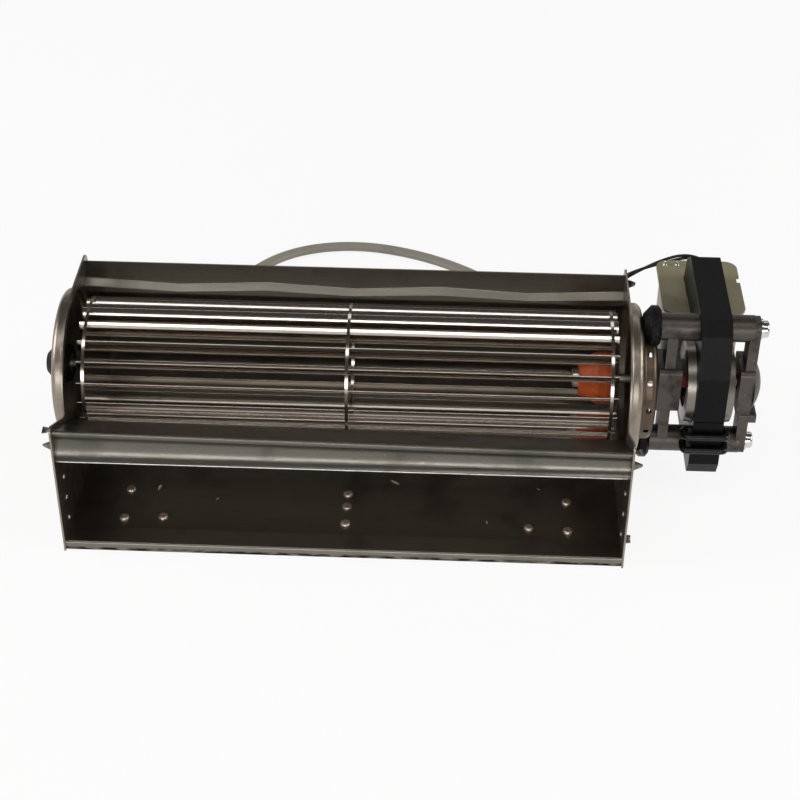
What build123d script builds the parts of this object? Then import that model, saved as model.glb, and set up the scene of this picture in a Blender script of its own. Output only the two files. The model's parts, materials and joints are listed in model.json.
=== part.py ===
"""Cross flow fan: folded sheet housing, bladed drum wheel and C-frame motor.

Millimetres, +Z up, +X along the wheel axis towards the motor, outlet facing -Y.
The model is drawn about the wheel axis and moved up at the end, so that the origin is
below the middle of the wheel, on the surface that the fan stands on.
"""

import os
from math import asin, atan2, cos, degrees, exp, pi, radians, sin, sqrt, tan

from build123d import *

# ---------------------------------------------------------------- housing sheet
SHEET = 0.8                 # thickness of the galvanised sheet
HOUSING_LENGTH = 248.0      # between the middles of the two end plates
AXIS_HEIGHT = 56.6          # wheel axis above the standing surface
FRONT_DEPTH = 64.8          # wheel axis to the outlet plane
PLATE_LIP = 0.7             # end plates stand this far in front of the outlet edges

# ---------------------------------------------------------------- wheel
WHEEL_RADIUS = 30.4         # over the blade tips
BLADE_COUNT = 20
BLADE_CHORD = 6.6           # radial depth of a blade
BLADE_SHEET = 0.5
BLADE_START = 5.0           # turn of the first blade, degrees
BLADE_LEAN = 5.0            # angle about the axis from a blade's root to its tip
BLADE_OVERHANG = 3.0        # blade ends beyond the end discs
DISC_INSET = 7.5            # end discs inside the end plates
DISC_THICKNESS = 1.4
DISC_RIM = 0.6              # disc edge outside the blade tips
SLOT_CLEARANCE = 0.06       # blade slot in a disc, all round
MIDDLE_EYE = 20.0           # radius of the hole in the middle disc
STUB_FLANGE = 12.0
HUB_DEPTH = 13.0            # drive hub, from its disc inwards
HUB_NOSE = 8.0
HUB_BODY = 12.0
HUB_WAIST = 8.5
HUB_COLLAR = 11.0
HUB_BORE = 4.5

# ---------------------------------------------------------------- scroll
NOSE_GAP = 3.5              # least gap between the scroll wall and the wheel
NOSE_ANGLE = 41.0           # where the scroll starts, above the horizontal
NOSE_BEND = 1.2             # bend radius at the scroll start
SCROLL_GROWTH = 0.165       # spiral growth per radian
SCROLL_END = -50.0          # where the spiral runs out into the floor arc
SCROLL_ARCS = 4
FLOOR_DROP = 53.6           # wheel axis down to the duct floor
FLOOR_BEND = 52.0           # wheel axis to the crease in the floor
LIP_TOP = 51.4              # wheel axis down to the front edge of the floor
LIP_HEIGHT = 4.6
LIP_BEND = 1.3
TOP_EDGE = 37.0             # wheel axis up to the top edge of the scroll sheet
JOGGLE_DEPTH = 3.1          # step back of the top strip
JOGGLE_HEIGHT = 2.4
JOGGLE_LEVEL = 24.8         # middle height of the joggle's lower corner
JOGGLE_WAVE = 1.0           # zigzag of the joggle, up and down
JOGGLE_END = 4.0            # first bend of the zigzag, from the end plate
JOGGLE_RUNS = 6
JOGGLE_BEND = 0.7

# ---------------------------------------------------------------- tongue
TONGUE_GAP = 2.6            # tongue edge to the wheel
TONGUE_ANGLE = 14.0         # of that edge below the horizontal
TONGUE_TOP = 9.6            # front bend above the wheel axis, idle end
TONGUE_SKEW = 2.7           # ramp sits this much lower at the motor end
TONGUE_CUT = -6.7           # lower cut edge, from the wheel axis
TONGUE_HOLLOW = 3.4         # depth of the hollow front face
TONGUE_CURL = 5.0           # flange under the tongue edge
TONGUE_TAB_SHARE = 0.84     # ramp tab, from the tongue edge to the front bend
TOP_TAB_DROP = 4.5          # strip tab below the top edge
TONGUE_BEND = 0.9

# ---------------------------------------------------------------- end plates
CUP_GAP = 3.4               # wheel disc to the outside of the drawn cup
CUP_RIM = 4.1               # flat rim round the cup, at the inlet
CUP_DEPTH = 5.6
CUP_BEND = 1.9
PLATE_FRONT_RISE = 2.8      # front corner above the tongue's front bend
PLATE_TOP_MARGIN = 5.8      # top rear corner behind the scroll's strip
PLATE_REAR_MARGIN = 3.6     # rear edge behind the scroll
PLATE_REAR_LEVEL = 6.0      # where the rear edge turns upright
PLATE_FRONT_ROUND = 2.5
PLATE_TOP_ROUND = 5.0
PLATE_REAR_ROUND = 20.0
PLATE_FOOT_ROUND = 14.0

# ---------------------------------------------------------------- tabs
TAB_WIDTH = 4.6
TAB_LENGTH = 3.6            # twisted part outside the plate
TAB_NECK = 0.5              # straight part outside the plate
TAB_TWIST = 42.0
TAB_THINNED = 0.12          # tab blank is pressed this much thinner than its sheet
TAB_PLAY = 0.15             # slot round a tab

# ---------------------------------------------------------------- idle bearing
HOLDER_SEAT = 7.5           # radius of the hole that the rubber holder sits in
HOLDER_RADIUS = 8.8
HOLDER_OUT = 8.4            # how far the holder stands out of the cup
HOLDER_GROOVE = 1.2
BUSH_RADIUS = 4.5
BUSH_LENGTH = 9.0
RUNNING_GAP = 0.05          # shaft in a bearing, radial

# ---------------------------------------------------------------- feet and rivets
FOOT_WIDTH = 44.0
FOOT_STRIP = 16.0
FOOT_INSET = 30.0           # middle of an outer foot from its end plate
FOOT_CORNER = 4.0
FOOT_FRONT = -51.0
FOOT_BACK = 31.0            # rear edge behind the wheel axis
FOOT_HOLE_Y = 22.0
FOOT_HOLE_RADIUS = 2.2
OUTER_RIVETS = ((6.5, -25.0), (6.5, -45.5), (-11.0, -44.0))
MIDDLE_RIVETS = ((0.0, -24.0), (0.0, -33.0), (0.0, -45.0))
RIVET_HEAD_RADIUS = 2.15
RIVET_HEAD_HEIGHT = 1.1
RIVET_RADIUS = 1.2
RIVET_CLEARANCE = 0.05

# ---------------------------------------------------------------- motor carrier
CARRIER_RADIUS = 27.0
CARRIER_EDGE = 0.2          # flange of the ring to the stack screws
CARRIER_DEPTH = 6.6
CARRIER_BEND = 1.6
CARRIER_EYE = 15.0          # radius of the hole in its end face
CARRIER_VENTS = 13
VENT_START = 31.2           # first vent above the front of the ring, degrees
VENT_RADIUS = 1.3

# ---------------------------------------------------------------- motor
SCREW_OFFSET = 30.7         # stack screws above and below the axis
SCREW_Y = -2.6              # stack screws in front of the axis
STACK_THICKNESS = 13.6
STACK_FRONT = 21.0          # axis to the front face
STACK_REAR = 57.2
STACK_HALF = 38.5           # half height over the two legs
LEG_INNER = 19.7            # half height of the coil window
HEAD_REAR = 23.0            # rear face of the pole head
CORE_WIDTH = 17.0           # bridge through the coil, front to back
CORNER_RISE = 23.5          # front top corner is cut back over this height
CORNER_DEPTH = 13.0
TOE_CUT = 7.0               # front bottom corner
REAR_CUT = 13.0
ROTOR_RADIUS = 19.2
AIR_GAP = 0.4
RING_LENGTH = 3.6           # cast end ring of the rotor
SHAFT_RADIUS = 2.0
SPACER_RADIUS = 3.4
SCREW_RADIUS = 2.0
SCREW_HEAD_RADIUS = 3.9
SCREW_HEAD_HEIGHT = 3.0
WASHER_RADIUS = 4.7
WASHER_THICKNESS = 0.9
SCREW_PLAY = 0.15

BOSS_RADIUS = 6.1
ARM_WIDTH = 10.6
ARM_THICKNESS = 4.6
INNER_BOSS = 17.0           # length of the bosses towards the wheel
OUTER_BOSS = 8.7            # length of the outer bosses, up to their arm
ARM_SETBACK = 3.4           # inner arm from the free ends of its bosses
INNER_HUB_AHEAD = 2.2
INNER_HUB_LENGTH = 10.2
OUTER_HUB_BACK = 2.0
ARM_OVER = 4.9              # arm beyond the screw axes
HUB_WIDTH = 20.0
HUB_HEIGHT = 23.0
CAP_RADIUS = 12.4
CAP_OUT = 4.2
BALL_BEARING_RADIUS = 6.5
BALL_BEARING_LENGTH = 5.0

RING_WIRE = 1.6             # radius of a shading ring's wire
RING_LEVELS = (-15.2, -22.6)
RING_OVERHANG = 3.4         # ring beyond the stack, wheel side
RING_AHEAD = 1.9            # ring beyond the stack, outer side
RING_BEND = 1.85
RING_BACKS = (16.6, 15.4)   # rear run of each ring in front of the axis

FLANGE_WIDTH = 38.2         # coil bobbin flange, along the axis
FLANGE_DEPTH = 46.2
NOTCH_PLACE = 6.9           # notch in its outer edge, behind the middle
FLANGE_SHEET = 1.2
FLANGE_ROUND = 6.0
BOBBIN_WALL = 1.0
BOBBIN_PLAY = 0.2           # bobbin to the bridge
COIL_ROUND = 8.0
COIL_INSET = 1.6
COIL_PLAY = 0.2             # bobbin to the legs of the stack

GROMMET_RADIUS = 9.3
GROMMET_LENGTH = 7.6
GROMMET_TIP = 5.6           # radius at its narrow end
GROMMET_SEAT = 0.1          # rubber to the end face of the ring

# ---------------------------------------------------------------- cable
CABLE_RADIUS = 2.75
LEAD_RADIUS = 1.5           # pair of thin leads from the coil to the cable
COIL_DIAMETERS = 11         # middle of the coiled turns, in cable diameters
COIL_TURNS_WIDE = 2
COIL_TURNS_HIGH = 2
COIL_PLACE = (-48.0, 100.0)
TAIL_LENGTH = 34.0
CORE_RADIUS = 1.1
CORE_LENGTH = 14.0
BARE_RADIUS = 0.5
BARE_LENGTH = 8.0
# Points of the two routes, about the wheel axis.
LEAD_ROUTE = [
    (178.0, 69.2, 3.0),
    (173.0, 77.0, 12.5),
    (159.5, 75.5, 21.0),
    (142.5, 75.0, 15.4),
    (125.5, 74.5, 6.0),
    (114.0, 74.0, -4.5),
]
CABLE_FLOOR_ROUTE = [
    (83.0, 112.0),
    (82.0, 144.0),
    (61.0, 169.0),
    (27.0, 190.5),
    (-11.0, 200.0),
    (-46.0, 190.0),
    (-69.0, 163.0),
    (-79.0, 133.0),
]

# ================================================================ shared values
half_length = HOUSING_LENGTH / 2
disc_x = half_length - DISC_INSET
blade_length = 2 * (disc_x + BLADE_OVERHANG)
hub_start = disc_x - HUB_DEPTH
joggle_reach = half_length - JOGGLE_END
foot_offset = half_length - FOOT_INSET
inner_face = half_length - SHEET / 2
outer_face = half_length + SHEET / 2
front = -FRONT_DEPTH
floor_z = -FLOOR_DROP
base_z = -AXIS_HEIGHT
cup_end = outer_face + CUP_DEPTH
disc_radius = WHEEL_RADIUS + DISC_RIM
cup_radius = disc_radius + CUP_GAP
flange_radius = cup_radius + CUP_RIM
foot_thickness = AXIS_HEIGHT - FLOOR_DROP - SHEET
carrier_start = cup_end
inner_boss_x = carrier_start + GROMMET_LENGTH
inner_arm_x = inner_boss_x + ARM_SETBACK
inner_hub_x = inner_arm_x - INNER_HUB_AHEAD
inner_hub_end = inner_hub_x + INNER_HUB_LENGTH
stack_start = inner_boss_x + INNER_BOSS
stack_end = stack_start + STACK_THICKNESS
stack_middle = stack_start + STACK_THICKNESS / 2
outer_arm_x = stack_end + OUTER_BOSS
outer_arm_end = outer_arm_x + ARM_THICKNESS
outer_hub_x = outer_arm_x - OUTER_HUB_BACK
core_y = STACK_REAR - CORE_WIDTH / 2
bore_radius = ROTOR_RADIUS + AIR_GAP
lying_z = base_z + CABLE_RADIUS + 0.1
coil_middle = CABLE_RADIUS * COIL_DIAMETERS
carrier_end = carrier_start + CARRIER_DEPTH


def section(x):
    """Sketch plane across the axis at x, with Y to the right and Z up."""
    return Plane.YZ.offset(x)


def slab(sketch, start, end):
    """Solid between two planes across the axis."""
    return extrude(section(start) * sketch, end - start, dir=(1, 0, 0))


def along_x(radius, start, end, y=0.0, z=0.0):
    """Solid round bar along X."""
    return slab(Pos(y, z) * Circle(radius), start, end)


def tube_x(outer, inner, start, end, y=0.0, z=0.0):
    """Round tube along X."""
    return slab(Pos(y, z) * (Circle(outer) - Circle(inner)), start, end)


def turned(points, radii=None):
    """Solid of revolution about the X axis from (x, r) points."""
    line = Polyline(*points, close=True)
    return revolve(make_face(line), Axis.X)


def folded(line):
    """Face of a folded sheet that lies to the left of a line."""
    return make_face(Wire(line.edges()).offset_2d(SHEET, side=Side.LEFT))


# ================================================================ scroll outline
def spiral_point(angle):
    """Point of the scroll spiral at a polar angle in degrees."""
    turn = radians(NOSE_ANGLE - angle)
    reach = (WHEEL_RADIUS + NOSE_GAP) * exp(SCROLL_GROWTH * turn)
    return reach * cos(radians(angle)), reach * sin(radians(angle))


def spiral_direction(angle):
    """Direction of the spiral, towards the floor, at a polar angle in degrees."""
    bearing = radians(angle)
    across = (sin(bearing), -cos(bearing))
    outward = (cos(bearing), sin(bearing))
    return across[0] + SCROLL_GROWTH * outward[0], across[1] + SCROLL_GROWTH * outward[1]


nose_heading = atan2(*reversed(spiral_direction(NOSE_ANGLE)))
nose_end = spiral_point(NOSE_ANGLE)
wall_y = nose_end[0] - NOSE_BEND * (1 + sin(nose_heading))
wall_z = nose_end[1] + NOSE_BEND * cos(nose_heading)


def scroll_line():
    """Wheel side of the scroll: nose bend, spiral, floor arc, floor and lip."""
    nose = ThreePointArc((wall_y, wall_z), bend_middle(), nose_end)
    edges = [nose]
    heading = Vector(*spiral_direction(NOSE_ANGLE))
    start = nose_end
    step = (NOSE_ANGLE - SCROLL_END) / SCROLL_ARCS
    for count in range(1, SCROLL_ARCS + 1):
        end = spiral_point(NOSE_ANGLE - count * step)
        arc = TangentArc(start, end, tangent=heading)
        edges.append(arc)
        heading = arc % 1
        start = end
    fall = atan2(-heading.Y, -heading.X)
    radius = (start[1] - floor_z) / (1 - cos(fall))
    floor_start = (start[0] - radius * sin(fall), floor_z)
    edges.append(TangentArc(start, floor_start, tangent=heading))
    floor = FilletPolyline(
        floor_start,
        (-FLOOR_BEND, floor_z),
        (front, -LIP_TOP),
        (front, -LIP_TOP - LIP_HEIGHT),
        radius=[2.0, LIP_BEND],
    )
    edges += floor.edges()
    return Wire([edge for item in edges for edge in item.edges()])


def bend_middle():
    """Middle point of the nose bend."""
    centre = (wall_y + NOSE_BEND, wall_z)
    bearing = (-pi + nose_heading - pi / 2) / 2
    return centre[0] + NOSE_BEND * cos(bearing), centre[1] + NOSE_BEND * sin(bearing)


def strip_line(wave):
    """Wheel side of the top strip, with its joggle raised by wave."""
    low = JOGGLE_LEVEL + wave
    return FilletPolyline(
        (wall_y + JOGGLE_DEPTH, TOP_EDGE),
        (wall_y + JOGGLE_DEPTH, low + JOGGLE_HEIGHT),
        (wall_y, low),
        (wall_y, wall_z),
        radius=JOGGLE_BEND,
    )


def strip_run(start, end, start_wave, end_wave):
    """One straight run of the zigzag top strip between two stations."""
    faces = []
    for x, wave in ((start, start_wave), (end, end_wave)):
        faces.append(section(x) * folded(strip_line(wave)))
    return loft(faces, ruled=True)


def tab(y, z, bearing):
    """Tab at the motor end of a sheet: a straight neck and a twisted end."""
    thickness = SHEET - TAB_THINNED
    neck_length = SHEET + TAB_NECK + 1.0
    place = Pos(0, y, z) * Rot(bearing, 0, 0)
    neck = place * Pos(inner_face - 1.0 + neck_length / 2, 0, 0) * Box(neck_length, TAB_WIDTH, thickness)
    root = inner_face - 1.0 + neck_length
    faces = []
    for share in (0.0, 0.5, 1.0):
        blank = Rectangle(TAB_WIDTH * (1 - 0.25 * share), thickness)
        faces.append(section(root + share * TAB_LENGTH) * Rot(0, 0, share * TAB_TWIST) * blank)
    twisted = place * loft(faces, ruled=True)
    return neck + twisted


def tab_slot(y, z, bearing):
    """Slot in the end plate for a tab."""
    width = TAB_WIDTH + 2 * TAB_PLAY
    return Pos(inner_face + SHEET / 2, y, z) * Rot(bearing, 0, 0) * Box(4 * SHEET, width, SHEET + 2 * TAB_PLAY)


def scroll_tab_places():
    """Tab middles and bearings along the scroll sheet: strip, back and floor."""
    mid = SHEET / 2
    places = [(wall_y + JOGGLE_DEPTH + mid, TOP_EDGE - TOP_TAB_DROP, 90.0)]
    for angle in (4.0, -36.0):
        y, z = spiral_point(angle)
        heading = spiral_direction(angle)
        scale = mid / sqrt(heading[0] ** 2 + heading[1] ** 2)
        places.append((y - heading[1] * scale, z + heading[0] * scale, degrees(atan2(heading[1], heading[0]))))
    places.append((-22.0, floor_z - mid, 0.0))
    places.append((-FLOOR_BEND + 3.5, floor_z - mid, 0.0))
    return places


def make_volute():
    """Scroll, floor and lip in one folded sheet, with its zigzag top strip and tabs.

    The strip has a tab at the motor end only.
    """
    body = slab(folded(scroll_line()), -inner_face, inner_face)
    pitch = 2 * joggle_reach / JOGGLE_RUNS
    stations = [-joggle_reach + count * pitch for count in range(JOGGLE_RUNS + 1)]
    waves = [JOGGLE_WAVE if count % 2 == 0 else -JOGGLE_WAVE for count in range(JOGGLE_RUNS + 1)]
    stations = [-inner_face] + stations + [inner_face]
    waves = [waves[0]] + waves + [waves[-1]]
    for count in range(len(stations) - 1):
        body += strip_run(*stations[count:count + 2], *waves[count:count + 2])
    for place in scroll_tab_places():
        body += tab(*place)
    for place in scroll_tab_places()[1:]:
        body += mirror(tab(*place), Plane.YZ)
    return body


# ================================================================ tongue
def tongue_edge(skew):
    """Edge of the tongue next to the wheel."""
    reach = WHEEL_RADIUS + TONGUE_GAP
    bearing = radians(TONGUE_ANGLE)
    return -reach * cos(bearing), -reach * sin(bearing) - skew


def tongue_face(x, skew):
    """Section of the tongue sheet at x."""
    edge = tongue_edge(skew)
    curl_end = (edge[0] - 0.55 * TONGUE_CURL, edge[1] - TONGUE_CURL)
    bend = (front, TONGUE_TOP - skew)
    ramp = FilletPolyline(curl_end, edge, bend, (front + 1.6, bend[1] - 3.8), radius=[1.6, TONGUE_BEND])
    hollow_middle = (front + TONGUE_HOLLOW, (bend[1] - 3.8 + TONGUE_CUT) / 2)
    hollow = ThreePointArc((front + 1.6, bend[1] - 3.8), hollow_middle, (front, TONGUE_CUT))
    line = Wire(ramp.edges() + hollow.edges())
    return section(x) * folded(line)


def tongue_tab_places(skew):
    """Tab middles and bearings on the tongue sheet, at the end with that skew."""
    edge = tongue_edge(0.0)
    slope = degrees(atan2(TONGUE_TOP - edge[1], front - edge[0]))
    share = TONGUE_TAB_SHARE
    y = edge[0] + share * (front - edge[0])
    z = edge[1] + share * (TONGUE_TOP - edge[1]) - SHEET / 2 / cos(radians(slope + 180))
    low = (TONGUE_TOP - 3.2 - skew + TONGUE_CUT) / 2 - 0.6
    return [(y, z - skew, slope + 180), (front + TONGUE_HOLLOW + 0.2, low, 90.0)]


def make_tongue():
    """Stabiliser sheet under the inlet; its ramp drops slightly towards the motor."""
    body = loft([tongue_face(-inner_face, 0.0), tongue_face(inner_face, TONGUE_SKEW)], ruled=True)
    for place in tongue_tab_places(TONGUE_SKEW):
        body += tab(*place)
    for place in tongue_tab_places(0.0):
        body += mirror(tab(*place), Plane.YZ)
    return body


# ================================================================ wheel
def blade_face(extra):
    """Section of one blade, or of its slot when extra is the clearance."""
    inner = WHEEL_RADIUS - BLADE_CHORD
    root = (0.0, inner)
    tip_angle = radians(90 - BLADE_LEAN)
    tip = (WHEEL_RADIUS * cos(tip_angle), WHEEL_RADIUS * sin(tip_angle))
    arc = TangentArc(root, tip, tangent=(sin(radians(-6.0)), cos(radians(-6.0))))
    centre_line = Wire([arc])
    outline = centre_line.offset_2d(BLADE_SHEET / 2 + extra, side=Side.BOTH)
    return make_face(outline)


def make_blades():
    """Forward-curved blades, each its own strip."""
    one = slab(blade_face(0.0), -blade_length / 2, blade_length / 2)
    pitch = 360.0 / BLADE_COUNT
    return [Rot(BLADE_START + count * pitch, 0, 0) * one for count in range(BLADE_COUNT)]


def make_disc(x, hole):
    """Wheel disc at x with a slot for every blade."""
    slot = blade_face(SLOT_CLEARANCE)
    sketch = Circle(disc_radius)
    for count in range(BLADE_COUNT):
        sketch -= Rot(0, 0, BLADE_START + count * 360.0 / BLADE_COUNT) * slot
    if hole:
        sketch -= Circle(hole)
    return slab(sketch, x - DISC_THICKNESS / 2, x + DISC_THICKNESS / 2)


def make_stub():
    """Stub shaft at the idle end, with a flange riveted to the disc."""
    disc_face = -disc_x - DISC_THICKNESS / 2
    flange = along_x(STUB_FLANGE, disc_face - 1.6, disc_face)
    neck = along_x(SHAFT_RADIUS + 1.6, disc_face - 3.2, disc_face - 1.6)
    start = -cup_end - HOLDER_OUT + 3.4
    return flange + neck + along_x(SHAFT_RADIUS, start, disc_face)


def make_hub():
    """Rubber drive hub through the motor-end disc."""
    disc_in = disc_x - DISC_THICKNESS / 2
    disc_out = disc_x + DISC_THICKNESS / 2
    line = [
        (hub_start, HUB_BORE),
        (hub_start, HUB_NOSE),
        (hub_start + 3.0, HUB_NOSE + 1.2),
        (disc_in - 4.0, HUB_BODY),
        (disc_in, HUB_BODY),
        (disc_in, HUB_WAIST),
        (disc_out, HUB_WAIST),
        (disc_out, HUB_COLLAR),
        (disc_out + 1.8, HUB_COLLAR - 0.8),
        (disc_out + 1.8, HUB_BORE),
    ]
    return turned(line)


def make_hub_bush():
    """Steel bush moulded into the drive hub, pressed on the motor shaft."""
    return tube_x(HUB_BORE, SHAFT_RADIUS, hub_start - 2.6, disc_x + 2.0)


# ================================================================ end plates
def plate_outline():
    """Outline of an end plate, without its cup."""
    edge = tongue_edge(0.0)
    slope = (edge[1] - TONGUE_TOP) / (edge[0] - front)
    nose = front - PLATE_LIP
    nose_top = TONGUE_TOP + PLATE_FRONT_RISE
    inside = 0.85 * flange_radius
    rear_top = wall_y + JOGGLE_DEPTH + PLATE_TOP_MARGIN
    rear = spiral_point(0.0)[0] + PLATE_REAR_MARGIN + SHEET
    corners = [
        (nose, nose_top, PLATE_FRONT_ROUND),
        (rear_top, flange_radius, PLATE_TOP_ROUND),
        (rear, PLATE_REAR_LEVEL, PLATE_REAR_ROUND),
        (rear, base_z, PLATE_FOOT_ROUND),
    ]
    block = Polygon(
        (nose, base_z),
        (nose, nose_top),
        (-inside, nose_top + slope * (-inside - nose)),
        (0, 0),
        (0, flange_radius),
        *[(y, z) for y, z, radius in corners[1:]],
        align=None,
    )
    outline = block + Circle(flange_radius)
    for y, z, radius in corners:
        corner = outline.vertices().sort_by_distance(Vector(y, z, 0))[0]
        outline = fillet(corner, radius)
    return outline


def cup_ring(start, depth, rim, wall, eye, bend):
    """Drawn cup of sheet along +X: flat rim, wall and end face with a round eye."""
    line = FilletPolyline(
        (start, rim),
        (start, wall),
        (start + depth, wall),
        (start + depth, eye),
        radius=bend,
    )
    return revolve(folded(line), Axis.X)


def make_plate(eye, slots):
    """End plate at the motor end, with its drawn cup, eye and tab slots."""
    rim = cup_radius + 2.0
    plate = slab(plate_outline(), inner_face, outer_face)
    plate -= along_x(rim, inner_face - 1, outer_face + 1)
    plate += cup_ring(inner_face, CUP_DEPTH, rim, cup_radius - SHEET, eye, CUP_BEND)
    for slot in slots:
        plate -= tab_slot(*slot)
    return plate


def make_holder():
    """Rubber bearing holder in the idle-end cup."""
    face = cup_end
    line = [
        (face - SHEET - 1.6, BUSH_RADIUS),
        (face - SHEET - 1.6, HOLDER_RADIUS - 0.6),
        (face - SHEET, HOLDER_RADIUS),
        (face - SHEET, HOLDER_SEAT),
        (face, HOLDER_SEAT),
        (face, HOLDER_RADIUS),
        (face + 2.6, HOLDER_RADIUS),
        (face + HOLDER_OUT - 2.4, HOLDER_RADIUS - 1.6),
        (face + HOLDER_OUT, HOLDER_RADIUS - 4.4),
        (face + HOLDER_OUT, SHAFT_RADIUS + 1.0),
        (face + HOLDER_OUT - 2.0, SHAFT_RADIUS + 1.0),
        (face + HOLDER_OUT - 2.0, BUSH_RADIUS),
    ]
    return mirror(turned(line), Plane.YZ)


# ================================================================ feet
def make_foot(x, width, rivets):
    """Flat strap under the floor, with rivet holes and a rear mounting hole."""
    length = FOOT_BACK - FOOT_FRONT
    blank = Pos(x, FOOT_FRONT + length / 2) * RectangleRounded(width, length, FOOT_CORNER)
    for place in rivets:
        blank -= Pos(*place) * Circle(RIVET_RADIUS + RIVET_CLEARANCE)
    if abs(x) > 1:
        blank -= Pos(x, FOOT_HOLE_Y) * Circle(FOOT_HOLE_RADIUS)
    return Pos(0, 0, base_z) * extrude(blank, foot_thickness)


def make_rivet(place):
    """Domed rivet head on the floor and its shank through floor and strap."""
    floor_top = floor_z
    sphere = (RIVET_HEAD_RADIUS ** 2 + RIVET_HEAD_HEIGHT ** 2) / 2 / RIVET_HEAD_HEIGHT
    ball = Pos(*place, floor_top + RIVET_HEAD_HEIGHT - sphere) * Sphere(sphere)
    keep = Pos(*place, floor_top + 5) * Box(10, 10, 10)
    shank_top = floor_top + 0.2
    length = shank_top - base_z - 0.5
    shank = Pos(*place, shank_top - length / 2) * Cylinder(RIVET_RADIUS, length)
    return (ball & keep) + shank


# ================================================================ motor carrier
def make_carrier():
    """Drawn ring between the motor-end cup and the motor."""
    ring = cup_ring(
        carrier_start,
        CARRIER_DEPTH - SHEET,
        SCREW_OFFSET - SCREW_RADIUS - CARRIER_EDGE,
        CARRIER_RADIUS - SHEET,
        CARRIER_EYE,
        CARRIER_BEND,
    )
    middle = carrier_start + CARRIER_DEPTH / 2
    for count in range(CARRIER_VENTS):
        drill = Pos(middle, 0, CARRIER_RADIUS) * Cylinder(VENT_RADIUS, 8)
        ring -= Rot(90 - VENT_START - 360.0 * count / CARRIER_VENTS, 0, 0) * drill
    return ring


def make_grommet(side):
    """Rubber mount round a stack screw; its underside rests on the carrier ring."""
    line = [
        (carrier_start, SCREW_RADIUS),
        (carrier_start, GROMMET_TIP),
        (carrier_start + 0.45 * GROMMET_LENGTH, GROMMET_RADIUS),
        (inner_boss_x - 1.4, GROMMET_RADIUS),
        (inner_boss_x, GROMMET_RADIUS - 1.6),
        (inner_boss_x, SCREW_RADIUS),
    ]
    mount = Pos(0, SCREW_Y, side * SCREW_OFFSET) * turned(line)
    mount -= along_x(CARRIER_RADIUS, carrier_start - 1, carrier_end + GROMMET_SEAT)
    bend_end = carrier_start + SHEET + CARRIER_BEND
    mount -= along_x(SCREW_OFFSET - SCREW_RADIUS - CARRIER_EDGE, carrier_start - 1, bend_end)
    return mount.solids().sort_by(SortBy.VOLUME)[-1]


# ================================================================ motor
def make_stack():
    """Lamination stack of the C-frame motor."""
    top = STACK_HALF
    outline = Polygon(
        (-STACK_FRONT, top - CORNER_RISE),
        (-STACK_FRONT + 5.0, top - CORNER_RISE + 13.0),
        (-STACK_FRONT + 7.0, top - CORNER_RISE + 18.0),
        (-STACK_FRONT + CORNER_DEPTH, top),
        (STACK_REAR - REAR_CUT, top),
        (STACK_REAR - REAR_CUT / 4, top - REAR_CUT / 2),
        (STACK_REAR, LEG_INNER),
        (STACK_REAR, -LEG_INNER),
        (STACK_REAR - REAR_CUT / 4, -top + REAR_CUT / 2),
        (STACK_REAR - REAR_CUT, -top),
        (-STACK_FRONT + TOE_CUT / 2, -top),
        (-STACK_FRONT, -top + TOE_CUT),
        align=None,
    )
    window_y = STACK_REAR - CORE_WIDTH
    window = Pos((HEAD_REAR + window_y) / 2, 0) * Rectangle(window_y - HEAD_REAR, 2 * LEG_INNER)
    outline -= window
    outline -= Circle(bore_radius)
    for side in (1, -1):
        outline -= Pos(SCREW_Y, side * SCREW_OFFSET) * Circle(SCREW_RADIUS + SCREW_PLAY)
    for level, back in zip(RING_LEVELS, RING_BACKS):
        outline -= Pos(-back, level) * Circle(RING_WIRE + 0.1)
    outline -= Pos(-STACK_FRONT, -8.0) * Rectangle(1.6, 0.5)
    return slab(outline, stack_start, stack_end)


def make_shading_rings():
    """Two closed copper rings round the front pole tip."""
    rings = []
    for level, back in zip(RING_LEVELS, RING_BACKS):
        ahead = -STACK_FRONT - RING_WIRE - 0.05
        length = stack_end + RING_AHEAD - (stack_start - RING_OVERHANG)
        middle = (stack_end + RING_AHEAD + stack_start - RING_OVERHANG) / 2
        width = -back - ahead
        plane = Plane.XY.offset(level) * Pos(middle, (ahead - back) / 2)
        path = (plane * RectangleRounded(length, width, RING_BEND)).wire()
        start = path @ 0
        rings.append(sweep(Plane(start, z_dir=path % 0) * Circle(RING_WIRE), path=path))
    return rings


def make_rotor_core():
    """Rotor stack on the shaft."""
    return tube_x(ROTOR_RADIUS, SHAFT_RADIUS, stack_start, stack_end)


def make_end_rings():
    """Cast end rings of the rotor, one on each side."""
    inner = turned([
        (stack_start, 11.0),
        (stack_start, ROTOR_RADIUS - 0.4),
        (stack_start - RING_LENGTH, ROTOR_RADIUS - 1.0),
        (stack_start - RING_LENGTH, 12.0),
    ])
    outer = mirror(inner, Plane.YZ.offset(stack_middle))
    return [inner, outer]


def make_spacers():
    """Fibre washers on the shaft between the rotor and the bearings."""
    inner = tube_x(SPACER_RADIUS, SHAFT_RADIUS, inner_hub_end + 0.5, stack_start)
    outer = tube_x(SPACER_RADIUS, SHAFT_RADIUS, stack_end, outer_hub_x - 0.5)
    return [inner, outer]


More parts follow.
